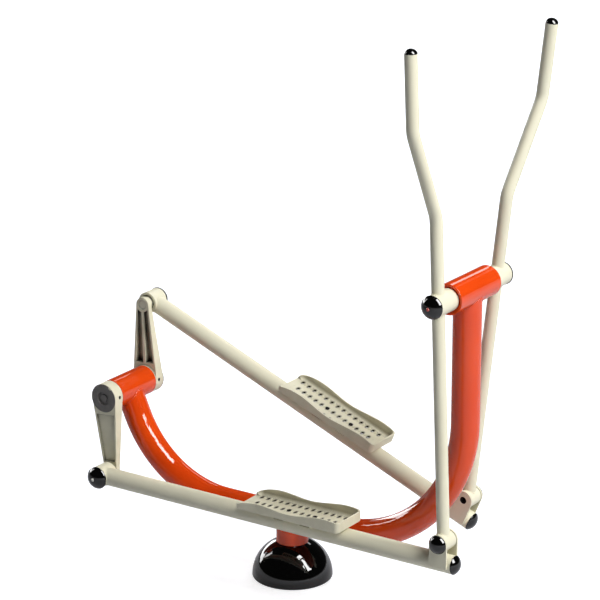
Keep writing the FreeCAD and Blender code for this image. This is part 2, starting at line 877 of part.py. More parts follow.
def tray_skyline():
    # Everything above the wavy top edge of the tray's walls, which falls to a low lip at the heel.
    top = tray_floor_height + tray_toe_hump + tray_floor
    side = 2 * tray_half_width
    y = -side
    shoulder = tray_heel_lip + tray_heel_round
    waves = [
        (tray_heel_round, shoulder),
        (tray_heel_hump_at, tray_heel_hump),
        (tray_waist_at, tray_waist),
        (tray_toe_hump_at, tray_toe_hump),
        (tray_end - tray_start, tray_toe_height),
    ]
    points = [VECTOR(tray_start + along, y, tray_floor_height + height) for along, height in waves]
    wave = Part.BSplineCurve()
    wave.interpolate(points)
    lip = VECTOR(tray_start, y, tray_floor_height + tray_heel_lip)
    bulge = tray_heel_round * (1 - HALF_ROOT)
    bend = VECTOR(tray_start + bulge, y, tray_floor_height + shoulder - bulge)
    edges = [Part.Arc(lip, bend, points[0]).toShape(), wave.toShape()]
    corners = [points[-1], VECTOR(tray_end, y, top), VECTOR(tray_start, y, top), lip]
    for first, second in zip(corners, corners[1:]):
        edges.append(Part.LineSegment(first, second).toShape())
    return Part.Face(Part.Wire(edges)).extrude(VECTOR(0, 2 * side, 0))


def lens(x, y, half_length, half_width, z):
    # Outline of two arcs that meet in points, long across the tray.
    back = VECTOR(x, y - half_length, z)
    front = VECTOR(x, y + half_length, z)
    first = Part.Arc(back, VECTOR(x + half_width, y, z), front).toShape()
    second = Part.Arc(front, VECTOR(x - half_width, y, z), back).toShape()
    return Part.Wire([first, second])


def tray_columns():
    # As many slots as the tray's length takes, between the margins at heel and toe.
    room = tray_end - tray_start - tray_first_slot - tray_last_slot
    return int(room / tray_slot_pitch + 0.5)


def tray_slot_places():
    # Three rows of slots. The outer rows stand half a pitch off the middle one, which skips the bolts.
    bolts = (tray_bolt_column, tray_bolt_column + tray_bolt_step)
    first = tray_start + tray_first_slot
    places = []
    for column in range(tray_columns()):
        if column not in bolts:
            places.append((first + column * tray_slot_pitch, 0.0))
    for column in range(tray_columns() + 1):
        x = first + (column - 0.5) * tray_slot_pitch
        places += [(x, -tray_slot_row), (x, tray_slot_row)]
    return places


def tray_lug_places():
    # A lug stands between each slot and the next of its row.
    first = tray_start + tray_first_slot
    places = []
    for column in range(tray_columns()):
        x = first + column * tray_slot_pitch
        places += [(x, -tray_slot_row), (x, tray_slot_row)]
    for column in range(tray_columns() - 1):
        places.append((first + (column + 0.5) * tray_slot_pitch, 0.0))
    return places


def tray_slots():
    slots = []
    for x, y in tray_slot_places():
        outline = lens(x, y, tray_slot_half_length, tray_slot_half_width, tray_floor_height)
        slots.append(Part.Face(outline).extrude(VECTOR(0, 0, tray_floor)))
    return Part.makeCompound(slots)


def tray_lugs():
    lugs = []
    low = tray_floor_height + tray_floor
    for x, y in tray_lug_places():
        base = lens(x, y, tray_lug_half_length, tray_lug_half_width, low)
        crown_length = tray_lug_half_length * tray_lug_crown
        crown_width = tray_lug_half_width * tray_lug_crown
        crown = lens(x, y, crown_length, crown_width, low + tray_lug_height)
        lugs.append(Part.makeLoft([base, crown], True, True))
    return lugs


def foot_tray():
    floor_top = tray_floor_height + tray_floor
    top = tray_floor_height + tray_toe_hump + tray_floor
    tray = tray_pan(0, tray_floor_height, top, tray_outer_round)
    tray = tray.cut(tray_pan(tray_wall, floor_top, top, tray_inner_round)).cut(tray_skyline())
    mouth = tray_half_width - tray_heel_corner
    heel_end = tray_start + tray_heel_corner
    tray = tray.cut(block(tray_start, heel_end, -mouth, mouth, floor_top, top))
    tray = tray.cut(tray_slots()).cut(tray_bolt_shanks())
    return tray.fuse(tray_lugs())


def tray_bolts():
    bolts = []
    top = tray_floor_height + tray_floor
    for x in tray_bolt_places():
        shank = rod(tray_bolt_radius, VECTOR(x, 0, top - tray_bolt_length), AXIS_Z, tray_bolt_length)
        head = rod(tray_bolt_head_radius, VECTOR(x, 0, top), AXIS_Z, tray_bolt_head_height)
        socket_start = top + tray_bolt_head_height - tray_bolt_socket_depth
        socket = hexagon_z(2 * tray_bolt_socket, x, 0, socket_start, top + tray_bolt_head_height)
        bolts.append(shank.fuse(head).cut(socket))
    return Part.makeCompound(bolts)


def add_beam(side):
    makers = {
        "foot_beam": foot_beam,
        "crank_sleeve": crank_sleeve,
        "sleeve_cap": sleeve_cap,
        "sleeve_cap_screw": sleeve_cap_screw,
        "clevis_plates": clevis_plates,
        "clevis_pin": clevis_pin,
        "clevis_cap": clevis_cap,
        "beam_end_cap": beam_end_cap,
        "tray_bracket": tray_bracket,
        "foot_tray": foot_tray,
        "tray_bolts": tray_bolts,
    }
    x, z = crank_pin_place(side)
    for name, maker in makers.items():
        drawn = maker()
        drawn.translate(VECTOR(0, side_offset, 0))
        add(side_name(side) + "_" + name, set_in_place(drawn, side, -beam_pitch(side), x, z))


# Handles. Drawn with the front axle as the Y axis through the origin and +Y outwards.


def handle_upper():
    y = side_offset
    bend_top = handle_lower_rise + handle_mid_rise
    points = [(0, y, 0), (0, y, handle_lower_rise)]
    points.append((handle_forward, y + handle_outset, bend_top))
    points.append((handle_forward, y + handle_outset, bend_top + grip_length))
    path = rounded_path(points, handle_bend)
    tube = hollow_pipe(path, VECTOR(0, y, 0), AXIS_Z, handle_radius, handle_wall)
    return tube.cut(pivot_sleeve_solid())


def pivot_sleeve_start_y():
    return front_housing_half - hub_recess + side_gap + pivot_flange


def pivot_sleeve_solid():
    return rod_y(pivot_sleeve_radius, 0, 0, pivot_sleeve_start_y(), pivot_sleeve_end_y)


def pivot_sleeve():
    inner = pivot_sleeve_radius - pivot_sleeve_wall
    return pivot_sleeve_solid().cut(rod_y(inner, 0, 0, pivot_sleeve_start_y(), pivot_sleeve_end_y))


def link_sleeve_half():
    return clevis_gap / 2 - side_gap - link_flange


def link_sleeve_solid():
    half = link_sleeve_half()
    return rod_y(link_sleeve_radius, 0, -handle_drop, side_offset - half, side_offset + half)


def link_sleeve():
    half = link_sleeve_half()
    inner = link_sleeve_radius - link_sleeve_wall
    bore = rod_y(inner, 0, -handle_drop, side_offset - half, side_offset + half)
    return link_sleeve_solid().cut(bore)


def handle_lower():
    start = VECTOR(0, side_offset, -handle_drop)
    tube = rod(handle_radius, start, AXIS_Z, handle_drop)
    tube = tube.cut(rod(handle_radius - handle_wall, start, AXIS_Z, handle_drop))
    return tube.cut(pivot_sleeve_solid()).cut(link_sleeve_solid())


def pivot_bushes():
    outer = pivot_sleeve_radius - pivot_sleeve_wall
    bore = axle_radius + running_gap
    start = pivot_sleeve_start_y()
    inner_bush = ring_y(outer, bore, 0, 0, start, start + pivot_bush_length)
    flange = ring_y(pivot_sleeve_radius, bore, 0, 0, start - pivot_flange, start)
    end = pivot_sleeve_end_y - pivot_outer_bush_inset
    outer_bush = ring_y(outer, bore, 0, 0, end - pivot_bush_length, end)
    return Part.makeCompound([fused([inner_bush, flange]), outer_bush])


def link_bushes():
    outer = link_sleeve_radius - link_sleeve_wall
    bore = clevis_pin_radius + running_gap
    half = link_sleeve_half()
    flange_radius = link_sleeve_radius - link_flange_margin
    body = ring_y(outer, bore, 0, 0, half - link_bush_length, half)
    flange = ring_y(flange_radius, bore, 0, 0, half, half + link_flange)
    bush = fused([body, flange])
    pair = Part.makeCompound([bush, mirrored(bush)])
    pair.translate(VECTOR(0, side_offset, -handle_drop))
    return pair


def pivot_cap():
    inner = pivot_sleeve_radius - pivot_sleeve_wall
    cap = plug_cap(pivot_sleeve_radius + cap_rim, pivot_cap_rise, inner)
    cap = cap.cut(rod(cap_screw_shank_radius, ORIGIN, AXIS_Z, pivot_cap_rise + 2 * cap_lip))
    return turned_to(cap, AXIS_Y, VECTOR(0, pivot_sleeve_end_y, 0))


def pivot_cap_screw():
    top = pivot_sleeve_end_y + cap_lip + pivot_cap_rise
    return cap_screw(VECTOR(0, top, 0), AXIS_Y)


def grip_cap():
    cap = plug_cap(handle_radius, grip_cap_rise, handle_radius - handle_wall)
    top = handle_lower_rise + handle_mid_rise + grip_length
    cap.translate(VECTOR(handle_forward, side_offset + handle_outset, top))
    return cap


def add_handle(side):
    makers = {
        "handle_upper": handle_upper,
        "handle_lower": handle_lower,
        "pivot_sleeve": pivot_sleeve,
        "pivot_bushes": pivot_bushes,
        "pivot_cap": pivot_cap,
        "pivot_cap_screw": pivot_cap_screw,
        "link_sleeve": link_sleeve,
        "link_bushes": link_bushes,
        "grip_cap": grip_cap,
    }
    for name, maker in makers.items():
        placed = set_in_place(maker(), side, handle_lean(side), front_axle_x, front_axle_z)
        add(side_name(side) + "_" + name, placed)


def add_frame():
    add("base_plate", base_plate())
    add("base_cover", base_cover())
    add("ground_post", ground_post())
    add("main_tube", main_tube())
    add("front_housing", housing(front_axle_x, front_axle_z, front_housing_half))
    add("axle_hubs", axle_hubs())
    add("front_axle", front_axle())
    add("axle_nuts", axle_nuts())
    add("rear_housing", housing(rear_axle_x, rear_axle_z, rear_housing_half))
    add("crank_bearings", crank_bearings())
    add("housing_circlips", housing_circlips())


def write_parts():
    os.makedirs("parts", exist_ok=True)
    for name, shape in parts.items():
        shape.exportStep("parts/" + name + ".step")
        box = shape.BoundBox
        spans = [round(end, 1) for end in (box.XMin, box.XMax, box.YMin, box.YMax, box.ZMin, box.ZMax)]
        print(name, len(shape.Solids), "solids, volume", round(shape.Volume), spans, shape.isValid())


add_frame()
add_crankset()
for walker_side in (RIGHT, LEFT):
    add_beam(walker_side)
    add_handle(walker_side)
write_parts()
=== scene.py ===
import bpy
import bmesh
import math
from mathutils import Matrix, Vector


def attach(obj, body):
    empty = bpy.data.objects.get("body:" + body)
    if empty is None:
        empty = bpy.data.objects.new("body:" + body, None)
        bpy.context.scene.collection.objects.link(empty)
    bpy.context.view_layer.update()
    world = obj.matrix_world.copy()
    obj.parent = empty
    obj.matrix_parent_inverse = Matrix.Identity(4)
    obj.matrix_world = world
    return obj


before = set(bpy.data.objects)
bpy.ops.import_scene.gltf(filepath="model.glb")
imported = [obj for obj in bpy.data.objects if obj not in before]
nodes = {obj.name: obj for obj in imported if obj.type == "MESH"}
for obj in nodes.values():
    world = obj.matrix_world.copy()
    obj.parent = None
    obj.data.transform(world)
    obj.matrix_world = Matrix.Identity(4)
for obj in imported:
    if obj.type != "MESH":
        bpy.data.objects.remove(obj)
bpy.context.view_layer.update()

# The frame is in metres. Here lengths are in millimetres and angles in degrees, where no comment
# says otherwise.
MM = 0.001
RIGHT = -1
LEFT = 1
sides = ((RIGHT, "right_"), (LEFT, "left_"))

# Linkage, as in the model
front_axle = (542.0, 920.0)
rear_axle = (-557.0, 440.0)
crank_throw = 214.0
crank_rest_angle = 5.0
beam_length = 1107.0
clevis_rise = 59.0
handle_drop = 638.0
side_offset = 147.0

# Tubes, as in the model
main_radius = 38.05
main_flat_z = 170.0
rear_rise_angle = 66.0
housing_radius = 41.5
post_radius = 44.45
post_wrap = 14.0
handle_radius = 16.85
sleeve_radius = 30.15
link_sleeve_radius = 25.0
beam_radius = 25.0
arm_boss_face = 120.2

# Slots of the trays, as in the model, from the crank pin
tray_first_slot = 523.0
tray_slot_pitch = 20.7
tray_last_column = 12
tray_slot_row = 38.5
tray_slot_half_length = 6.5
tray_slot_half_width = 3.2
# How many columns past the first and the last one the painted shade round the slots may reach
tray_slot_margin = 0.75

# Camera, fitted to the photograph
camera_azimuth = 33.75
camera_elevation = 17.79
camera_distance = 7950.0
camera_across = 20.7
camera_up = 758.3
camera_lens = 172.95
sensor_width = 36.0
# How far the camera sees, in metres
camera_reach = 100.0

# Weld beads: radius on the main tube and on the thinner tubes
main_bead = 2.4
thin_bead = 1.7
# Their ripples: length along the bead, and height as a share of the radius
ripple_step = 3.6
ripple_height = 0.18
ring_steps_per_ripple = 6
bead_sides = 8

# Corners nearer than this become one, and so do faces that meet at less than this angle
join_gap = 0.01
join_angle = 0.5
# Rounding of the edges
edge_round = 0.7
edge_angle = 35.0
edge_segments = 2
edge_profile = 0.5
flat_face_weight = 100

# Sockets of the colour mix, several of which have the same name
mix_share = 0
mix_first = 6
mix_second = 7
mix_result = 2
# The middle of a noise, which hardly reaches 0 and 1
noise_span = {"From Min": 0.3, "From Max": 0.7}
# The share of a relief's height that shows
relief_share = 0.5
# How open a corner is, from 0 to 1, where the painted shade is full and where it ends
corner_shade_span = {"From Min": 0.3, "From Max": 0.92, "To Min": 1.0, "To Max": 0.0}
corner_shade_samples = 8
# How far from a slot's middle, in half slots, its rim of painted shade starts to fade and ends
slot_shade_span = {"From Min": 1.1, "From Max": 2.0, "To Min": 0.85, "To Max": 0.0}

# Colours of painted shade, and how far it reaches out of the corners
slot_shade_colour = "4A463A"
casting_shade_colour = "24221C"
casting_shade_reach = 22.0
plate_shade_colour = "2C2A24"
plate_shade_reach = 90.0
# Casting paint on the ends of the crank pins
pin_end_paint = "EAE4CA"

# Stage, with its lengths in metres
floor_radius = 30.0
floor_sides = 96
floor_grey = "B8BBC4"
floor_roughness = 0.9
white = "FFFFFF"
# How high the white horizon reaches, as the sine of the height where it starts to fade and ends
horizon_view_span = {"From Min": 0.2, "From Max": 0.4, "To Min": 1.0, "To Max": 0.0}
horizon_gloss_span = {"From Min": 0.01, "From Max": 0.05, "To Min": 1.0, "To Max": 0.0}
# The strength of the ceiling above it
studio_dark = 0.03
# The floor's glow by the distance in metres: further out the lamps light it less, and the glow more
floor_view_span = {"From Min": 2.0, "From Max": 5.0, "To Min": 0.8, "To Max": 1.0}
# The glow that shows in the gloss fades along X, away from the key lamp
floor_gloss_span = {"From Min": -2.0, "From Max": 1.5, "To Min": 0.0, "To Max": 0.5}
# How far away the lamps and the windows stand, and the height that they are turned to
lamp_distance = 12.0
window_distance = 11.0
light_aim = 0.6


# Linkage at rest, in X and Z, for the places of the welds and slots


def crank_pin_place(side):
    angle = math.radians(crank_rest_angle)
    if side == LEFT:
        angle += math.pi
    return rear_axle[0] + crank_throw * math.sin(angle), rear_axle[1] - crank_throw * math.cos(angle)


def clevis_place(side):
    # The clevis pin hangs from the front axle by the handle, and the beam holds it off the crank pin.
    pin_x, pin_z = crank_pin_place(side)
    reach = math.hypot(beam_length, clevis_rise)
    span = math.hypot(front_axle[0] - pin_x, front_axle[1] - pin_z)
    along = (reach ** 2 - handle_drop ** 2 + span ** 2) / (2 * span)
    aside = math.sqrt(reach ** 2 - along ** 2)
    unit_x = (front_axle[0] - pin_x) / span
    unit_z = (front_axle[1] - pin_z) / span
    return pin_x + unit_x * along + unit_z * aside, pin_z + unit_z * along - unit_x * aside


def handle_direction(side):
    # Up along the lower part of the handle.
    end_x, end_z = clevis_place(side)
    return Vector((front_axle[0] - end_x, 0.0, front_axle[1] - end_z)).normalized()


def beam_direction(side):
    # Forward along the foot beam.
    pin_x, pin_z = crank_pin_place(side)
    end_x, end_z = clevis_place(side)
    pitch = math.atan2(end_z - pin_z, end_x - pin_x) - math.atan2(clevis_rise, beam_length)
    return Vector((math.cos(pitch), 0.0, math.sin(pitch)))


# Colours and materials


def linear(code):
    # A hexadecimal sRGB colour as linear red, green, blue and alpha.
    parts = [int(code[start:start + 2], 16) / 255 for start in (0, 2, 4)]
    curve = [c / 12.92 if c <= 0.04045 else ((c + 0.055) / 1.055) ** 2.4 for c in parts]
    return (curve[0], curve[1], curve[2], 1.0)


def add_node(tree, kind, inputs=None, **settings):
    # Adds a node, sets its properties, and fills or links its inputs by name or number.
    node = tree.nodes.new(kind)
    for name, value in settings.items():
        setattr(node, name, value)
    for name, value in (inputs or {}).items():
        if isinstance(value, bpy.types.NodeSocket):
            tree.links.new(value, node.inputs[name])
        else:
            node.inputs[name].default_value = value
    return node


def per_metre(millimetres):
    # The noise scale that gives spots of this size.
    return 1 / (millimetres * MM)


def noise(tree, spot):
    # Soft random spots of this size in mm, fixed to the piece.
    place = add_node(tree, "ShaderNodeTexCoord").outputs["Object"]
    return add_node(tree, "ShaderNodeTexNoise", {"Vector": place, "Scale": per_metre(spot)}).outputs["Fac"]


def surface(name, colour, shade, roughness, uneven, patch, grain, relief, **fixed):
    # A surface that changes slowly between two colours, with uneven gloss and a fine relief.
    # patch is the size in mm of the changes of colour, and those of the gloss are a third of it.
    # grain and relief are the relief's size and height in mm.
    # fixed holds further values of the shader that are the same all over.
    material = bpy.data.materials.new(name)
    material.use_nodes = True
    tree = material.node_tree
    shader = tree.nodes["Principled BSDF"]
    share = add_node(tree, "ShaderNodeMapRange", {"Value": noise(tree, patch), **noise_span})
    inputs = {mix_share: share.outputs[0], mix_first: linear(colour), mix_second: linear(shade)}
    tint = add_node(tree, "ShaderNodeMix", inputs, data_type="RGBA")
    tree.links.new(tint.outputs[mix_result], shader.inputs["Base Color"])
    ends = {"To Min": roughness - uneven, "To Max": roughness + uneven}
    gloss = add_node(tree, "ShaderNodeMapRange", {"Value": noise(tree, patch / 3), **noise_span, **ends})
    tree.links.new(gloss.outputs[0], shader.inputs["Roughness"])
    inputs = {"Strength": relief_share, "Distance": relief * MM, "Height": noise(tree, grain)}
    bump = add_node(tree, "ShaderNodeBump", inputs)
    tree.links.new(bump.outputs["Normal"], shader.inputs["Normal"])
    for socket, value in fixed.items():
        shader.inputs[socket].default_value = value
    return material


def cover_with(material, share, colour):
    # Lays another colour over a material, where share is 1.
    tree = material.node_tree
    tint = tree.nodes["Principled BSDF"].inputs["Base Color"]
    inputs = {mix_share: share, mix_first: tint.links[0].from_socket, mix_second: linear(colour)}
    covered = add_node(tree, "ShaderNodeMix", inputs, data_type="RGBA")
    tree.links.new(covered.outputs[mix_result], tint)


def paint_corner_shade(material, shade_colour, reach):
    # Painted shade in corners and holes, darker the more closed in they are, out to this many millimetres
    # from them.
    tree = material.node_tree
    settings = {"samples": corner_shade_samples, "only_local": True}
    corner = add_node(tree, "ShaderNodeAmbientOcclusion", {"Distance": reach * MM}, **settings)
    shade_share = add_node(tree, "ShaderNodeMapRange", {"Value": corner.outputs["AO"], **corner_shade_span})
    cover_with(material, shade_share.outputs[0], shade_colour)


def tray_axes(tree, side):
    # Millimetres along the tray (X) and across it (Y) from the crank pin, at rest.
    pin_x, pin_z = crank_pin_place(side)
    along = beam_direction(side)
    tray_place = {
        "Vector": add_node(tree, "ShaderNodeTexCoord").outputs["Object"],
        "Location": (pin_x * MM, side * side_offset * MM, pin_z * MM),
        "Rotation": (0.0, -math.atan2(along.z, along.x), 0.0),
        "Scale": (MM, MM, MM),
    }
    local = add_node(tree, "ShaderNodeMapping", tray_place, vector_type="TEXTURE")
    return add_node(tree, "ShaderNodeSeparateXYZ", {0: local.outputs[0]}).outputs


def tray_column(tree, axes):
    # The column of slots, counted from the first one, with fractions between the columns.
    inputs = {0: axes["X"], 1: 1 / tray_slot_pitch, 2: -tray_first_slot / tray_slot_pitch}
    return add_node(tree, "ShaderNodeMath", inputs, operation="MULTIPLY_ADD").outputs[0]


def from_slot_middle(tree, axes, column):
    # How far away the middle of the nearest slot is, where 1 is the slot's edge.
    inputs = {0: axes["Y"], 1: tray_slot_row}
    off_middle = add_node(tree, "ShaderNodeMath", inputs, operation="PINGPONG").outputs[0]
    inputs = {0: off_middle, 1: tray_slot_row / 2}
    outer = add_node(tree, "ShaderNodeMath", inputs, operation="GREATER_THAN").outputs[0]
    # The slots of the outer rows stand halfway between the columns.
    off_column = add_node(tree, "ShaderNodeMath", {0: column, 1: 0.5}, operation="PINGPONG").outputs[0]
    inputs = {0: outer, 1: -0.5, 2: off_column}
    off_slot = add_node(tree, "ShaderNodeMath", inputs, operation="MULTIPLY_ADD").outputs[0]
    inputs = {0: outer, 1: -tray_slot_row, 2: off_middle}
    off_row = add_node(tree, "ShaderNodeMath", inputs, operation="MULTIPLY_ADD").outputs[0]
    both = add_node(tree, "ShaderNodeCombineXYZ", {0: off_slot, 1: off_row})
    stretch = (tray_slot_pitch / tray_slot_half_width, 1 / tray_slot_half_length, 0.0)
    inputs = {0: both.outputs[0], 1: stretch}
    scaled = add_node(tree, "ShaderNodeVectorMath", inputs, operation="MULTIPLY")
    away = add_node(tree, "ShaderNodeVectorMath", {0: scaled.outputs[0]}, operation="LENGTH")
    return away.outputs["Value"]


def paint_slot_shade(material, shade_colour, side):
    # A dark rim of painted shade round the slots of a tray, drawn wide so that it shows.
    # Dirt round the slots of a tray, drawn wider than the real rim of dirt so that it shows.
    tree = material.node_tree
    axes = tray_axes(tree, side)
    column = tray_column(tree, axes)
    away = from_slot_middle(tree, axes, column)
    rim = add_node(tree, "ShaderNodeMapRange", {"Value": away, **slot_shade_span}).outputs[0]
    middle = tray_last_column / 2
    inputs = {0: column, 1: middle, 2: middle + tray_slot_margin}
    inside = add_node(tree, "ShaderNodeMath", inputs, operation="COMPARE").outputs[0]
    shade_share = add_node(tree, "ShaderNodeMath", {0: rim, 1: inside}, operation="MULTIPLY").outputs[0]
    cover_with(material, shade_share, shade_colour)


def shaded_tray(name, side):
    # Casting paint with painted shade round the slots and in the corners.
    material = surface(name, *cast_finish, **soft)
    paint_slot_shade(material, slot_shade_colour, side)
    paint_corner_shade(material, casting_shade_colour, casting_shade_reach)
    return material


def painted_pin_steel():
    # Turned steel whose inner end, flush with the arm, was painted over with the casting.
    material = surface("turned_steel_painted_end", "B4B3B0", "9C9B98", 0.3, 0.07, 18.0, 0.6, 0.02)
    tree = material.node_tree
    place = add_node(tree, "ShaderNodeTexCoord").outputs["Object"]
    axes = add_node(tree, "ShaderNodeSeparateXYZ", {0: place})
    away = add_node(tree, "ShaderNodeMath", {0: axes.outputs["Y"]}, operation="ABSOLUTE")
    inputs = {0: away.outputs[0], 1: arm_boss_face * MM}
    painted = add_node(tree, "ShaderNodeMath", inputs, operation="LESS_THAN").outputs[0]
    cover_with(material, painted, pin_end_paint)
    bare = add_node(tree, "ShaderNodeMath", {0: 1.0, 1: painted}, operation="SUBTRACT").outputs[0]
    tree.links.new(bare, tree.nodes["Principled BSDF"].inputs["Metallic"])
    return material


# Soft paint gives back little of its surroundings, lacquer gives them back sharply.
soft = {"Specular IOR Level": 0.25}
lacquer = {"Specular IOR Level": 0.0, "Coat Weight": 0.85, "Coat Roughness": 0.04}
metal = {"Metallic": 1.0}

# Finishes: colour, second colour, roughness, its unevenness, and patch, grain and relief in mm
cream_finish = ("F0ECD2", "ECE7CC", 0.42, 0.05, 160.0, 2.2, 0.04)
cast_finish = ("EDE8CE", "E2DDC2", 0.46, 0.07, 45.0, 2.8, 0.16)

# Cream powder coat on tubes: soft gloss with a fine orange peel.
cream = surface("cream_powder_coat", *cream_finish, **soft)
# The same coat on the clevis plates, with painted shade in the narrow space between them.
cream_plate = surface("cream_powder_coat_on_plates", *cream_finish, **soft)
paint_corner_shade(cream_plate, plate_shade_colour, plate_shade_reach)
# Cream paint on castings: the same colour over the grainy skin of a sand casting.
cream_cast = surface("cream_paint_on_casting", *cast_finish, **soft)
# Painted shade in the corners and pockets of the castings.
paint_corner_shade(cream_cast, casting_shade_colour, casting_shade_reach)
# The same casting paint on the trays, with painted shade also round the slots.
cream_trays = {side: shaded_tray(f"cream_paint_on_{prefix}tray", side) for side, prefix in sides}
# Orange-red gloss powder coat under clear lacquer, with long clean highlights.
red = surface("red_gloss_powder_coat", "EA4C10", "E2440C", 0.3, 0.04, 220.0, 2.6, 0.015, **lacquer)
# Moulded black ABS of the base cover: mirror-like, with faint ripples of the moulding.
cover_black = surface("moulded_black_abs_cover", "020202", "040404", 0.035, 0.01, 60.0, 26.0, 0.03)
# Moulded black ABS of the caps: glossy, with small sharp highlights.
cap_black = surface("moulded_black_abs_cap", "020202", "050505", 0.045, 0.01, 20.0, 9.0, 0.01)
# Moulded red polyethylene of the pivot screws' covers: dull, with a fine grain.
red_plastic = surface("moulded_red_polyethylene", "BE4A42", "AE423A", 0.5, 0.06, 6.0, 1.2, 0.03)
# Moulded pale grey polyethylene of the crank screws' covers: dull, with a fine grain.
grey_plastic = surface("moulded_grey_polyethylene", "DCDBD2", "CCCBC2", 0.5, 0.06, 6.0, 1.2, 0.03)
# Turned black acetal of the bushes: waxy and slightly mottled.
bush_black = surface("turned_black_acetal", "1A1A1A", "242424", 0.45, 0.06, 12.0, 0.8, 0.03)
# Zinc-plated steel of the nuts: pale, with a cloudy passivation.
zinc = surface("zinc_plated_steel", "C8C7C0", "A9A8A0", 0.33, 0.08, 9.0, 0.7, 0.03, **metal)
# Turned steel of the axle, the shaft and the bearings: bright, with an uneven shine.
steel = surface("turned_steel", "B4B3B0", "9C9B98", 0.28, 0.07, 18.0, 0.6, 0.02, **metal)
# Moulded dark grey nylon of the caps on the crank hubs: dull, with a faint grain.
hub_grey = surface("moulded_dark_grey_nylon", "6E6A65", "625F5A", 0.42, 0.06, 14.0, 1.4, 0.05)
# Black oxide steel of circlips, bolts and set screws: dark, with a patchy sheen.
black_steel = surface("black_oxide_steel", "232221", "1A1918", 0.42, 0.08, 7.0, 0.7, 0.03, **metal)
# Turned steel of the crank pins: bright, with cream inner ends.
pin_steel = painted_pin_steel()

node_materials = {
    "base_plate": red,
    "base_cover": cover_black,
    "ground_post": red,
    "main_tube": red,
    "front_housing": red,
    "rear_housing": red,
    "axle_hubs": red,
    "front_axle": steel,
    "axle_nuts": zinc,
    "crank_bearings": steel,
    "housing_circlips": black_steel,
    "crank_shaft": steel,
    "crank_keys": steel,
    "right_crank_arm": cream_cast,
    "left_crank_arm": cream_cast,
    "hub_washers": hub_grey,
    "hub_set_screws": black_steel,
    "crank_pins": pin_steel,
    "pin_circlips": black_steel,
}
side_materials = {
    "handle_lower": cream,
    "handle_upper": cream,
    "pivot_sleeve": cream,
    "link_sleeve": cream,
    "foot_beam": cream,
    "crank_sleeve": cream,
    "clevis_plates": cream_plate,
    "tray_bracket": cream,
    "pivot_bushes": bush_black,
    "link_bushes": bush_black,
    "pivot_cap_screw": red_plastic,
    "sleeve_cap_screw": grey_plastic,
    "clevis_pin": black_steel,
    "tray_bolts": black_steel,
    "pivot_cap": cap_black,
    "sleeve_cap": cap_black,
    "clevis_cap": cap_black,
    "beam_end_cap": cap_black,
    "grip_cap": cap_black,
}


def join_triangles(piece):
    # Makes one corner of those that lie on each other, so that the rounding finds whole edges.
    weld = piece.modifiers.new("weld", "WELD")
    weld.merge_threshold = join_gap * MM


def clear_diagonals(piece):
    flat = piece.modifiers.new("flat", "DECIMATE")
    flat.decimate_type = "DISSOLVE"
    flat.angle_limit = math.radians(join_angle)


def round_edges(piece):
    # Rounds the sharp edges, and lets the large faces shade flat up to the rounding.
    rounding = piece.modifiers.new("round", "BEVEL")
    rounding.width = edge_round * MM
    rounding.segments = edge_segments
    rounding.limit_method = "ANGLE"
    rounding.angle_limit = math.radians(edge_angle)
    rounding.profile = edge_profile
    shading = piece.modifiers.new("shading", "WEIGHTED_NORMAL")
    shading.mode = "FACE_AREA"
    shading.weight = flat_face_weight
    shading.keep_sharp = True


def dress_node(node, material):
    node.data.materials.clear()
    node.data.materials.append(material)
    node.data.polygons.foreach_set("use_smooth", [True] * len(node.data.polygons))
    join_triangles(node)
    # The bends of the main tube shade evenly only with all their facets.
    if node is not nodes["main_tube"]:
        clear_diagonals(node)
    round_edges(node)


def dress_nodes():
    for name, material in node_materials.items():
        dress_node(nodes[name], material)
    for side, prefix in sides:
        dress_node(nodes[prefix + "foot_tray"], cream_trays[side])
        for name, material in side_materials.items():
            dress_node(nodes[prefix + name], material)


# Weld beads, each with a slot name and the paint that covers it

red_weld = {"slot": "red_paint", "material": red}
cream_weld = {"slot": "cream_paint", "material": cream}


def new_piece(name, bm, body, slot, material):
    # A smooth piece of its own that rides a body.
    mesh = bpy.data.meshes.new(name)
    bmesh.ops.recalc_face_normals(bm, faces=bm.faces)
    bm.to_mesh(mesh)
    bm.free()
    mesh.polygons.foreach_set("use_smooth", [True] * len(mesh.polygons))
    mesh.materials.append(material)
    piece = bpy.data.objects.new(name, mesh)
    bpy.context.scene.collection.objects.link(piece)
    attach(piece, body)


def bead_ring(bm, radius, thickness):
    # A ring about the Z axis with the ripples that a weld leaves.
    ripples = round(2 * math.pi * radius / ripple_step)
    steps = ripples * ring_steps_per_ripple
    profile = bmesh.ops.create_circle(bm, segments=bead_sides, radius=thickness)["verts"]
    bmesh.ops.rotate(bm, verts=profile, cent=(0, 0, 0), matrix=Matrix.Rotation(math.pi / 2, 3, "X"))
    bmesh.ops.translate(bm, verts=profile, vec=(radius, 0, 0))
    edges = list({edge for vert in profile for edge in vert.link_edges})
    spun = {"axis": (0, 0, 1), "cent": (0, 0, 0), "angle": 2 * math.pi, "steps": steps}
    bmesh.ops.spin(bm, geom=profile + edges, use_merge=True, use_duplicate=False, **spun)
    for vert in bm.verts:
        turn = math.atan2(vert.co.y, vert.co.x)
        swell = 1 + ripple_height * abs(math.sin(turn * ripples / 2)) - ripple_height
        centre = Vector((radius * math.cos(turn), radius * math.sin(turn), 0))
        vert.co = centre + (vert.co - centre) * swell


def place_ring(bm, centre, along):
    # Turns a ring drawn about Z, with Y across, to its tube's direction, and sets it in metres.
    across = Vector((0, 1, 0))
    axes = Matrix((across.cross(along), across, along)).transposed().to_4x4()
    bm.transform(Matrix.Scale(MM, 4) @ Matrix.Translation(centre) @ axes)


def saddle_bead(name, tube, cylinder, centre, along, thickness, body, paint):
    # The bead round a tube that stands square on a cross tube through centre.
    bm = bmesh.new()
    bead_ring(bm, tube, thickness)
    for vert in bm.verts:
        turn = math.atan2(vert.co.y, vert.co.x)
        vert.co.z += math.sqrt(cylinder ** 2 - (tube * math.cos(turn)) ** 2)
    place_ring(bm, centre, along)
    new_piece(name, bm, body, **paint)


